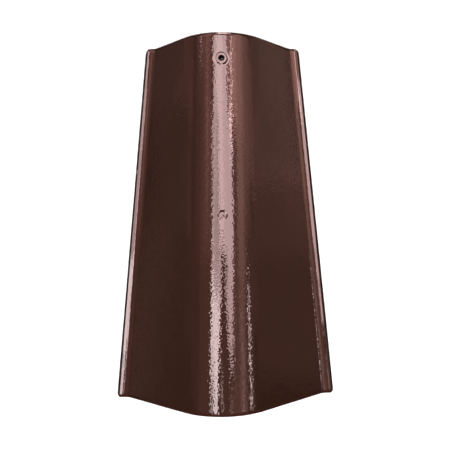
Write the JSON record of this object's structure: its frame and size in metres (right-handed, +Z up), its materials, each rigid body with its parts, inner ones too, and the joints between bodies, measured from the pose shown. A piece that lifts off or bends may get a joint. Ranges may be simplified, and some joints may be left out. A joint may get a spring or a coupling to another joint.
{
  "type": "verge tile",
  "caption": "Tapered arched clay capping tile with a flat lip along each long edge, a nail hole in the crown at its narrow end and a glossy brown glaze.",
  "frame": {"origin": "centre of the footprint, on the plane that the two lips rest on", "axes": "+Y along the tile, from the wide tail to the narrow head; +Z up, out of the crown; +X across, to the right when seen from above with the head away from the viewer"},
  "size_m": [0.2674, 0.43, 0.0863],
  "materials": {
    "glaze": "glossy dark brown glaze with a light orange-peel texture"
  },
  "bodies": {
    "root": {"verge_tile": "glaze"}
  },
  "joints": []
}
